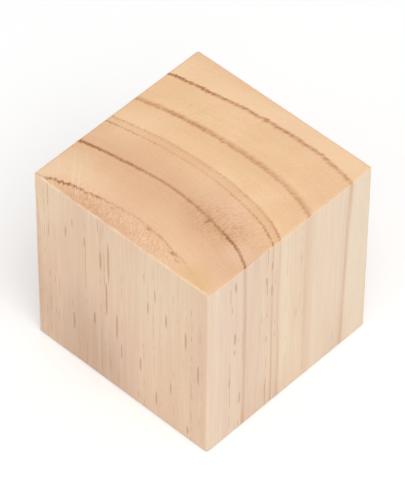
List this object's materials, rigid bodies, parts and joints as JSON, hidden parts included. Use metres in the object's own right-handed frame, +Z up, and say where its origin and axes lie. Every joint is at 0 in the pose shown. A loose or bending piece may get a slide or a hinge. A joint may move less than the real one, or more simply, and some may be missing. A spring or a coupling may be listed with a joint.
{
  "type": "wooden cube",
  "caption": "Solid cube of light sanded pine with lightly rounded edges; a plain block for craft, stacking or display.",
  "frame": {"origin": "centre of the base, on the surface that the cube stands on", "axes": "+Z up along the grain, so the end grain is on the top and the base; the growth rings' centre lies off the -Y side, and +X is the side where the rings show as straight upright lines"},
  "size_m": [0.05, 0.05, 0.05],
  "materials": {
    "sanded_pine": "sanded, unfinished"
  },
  "bodies": {
    "root": {"wooden_cube": "sanded_pine"}
  },
  "joints": []
}
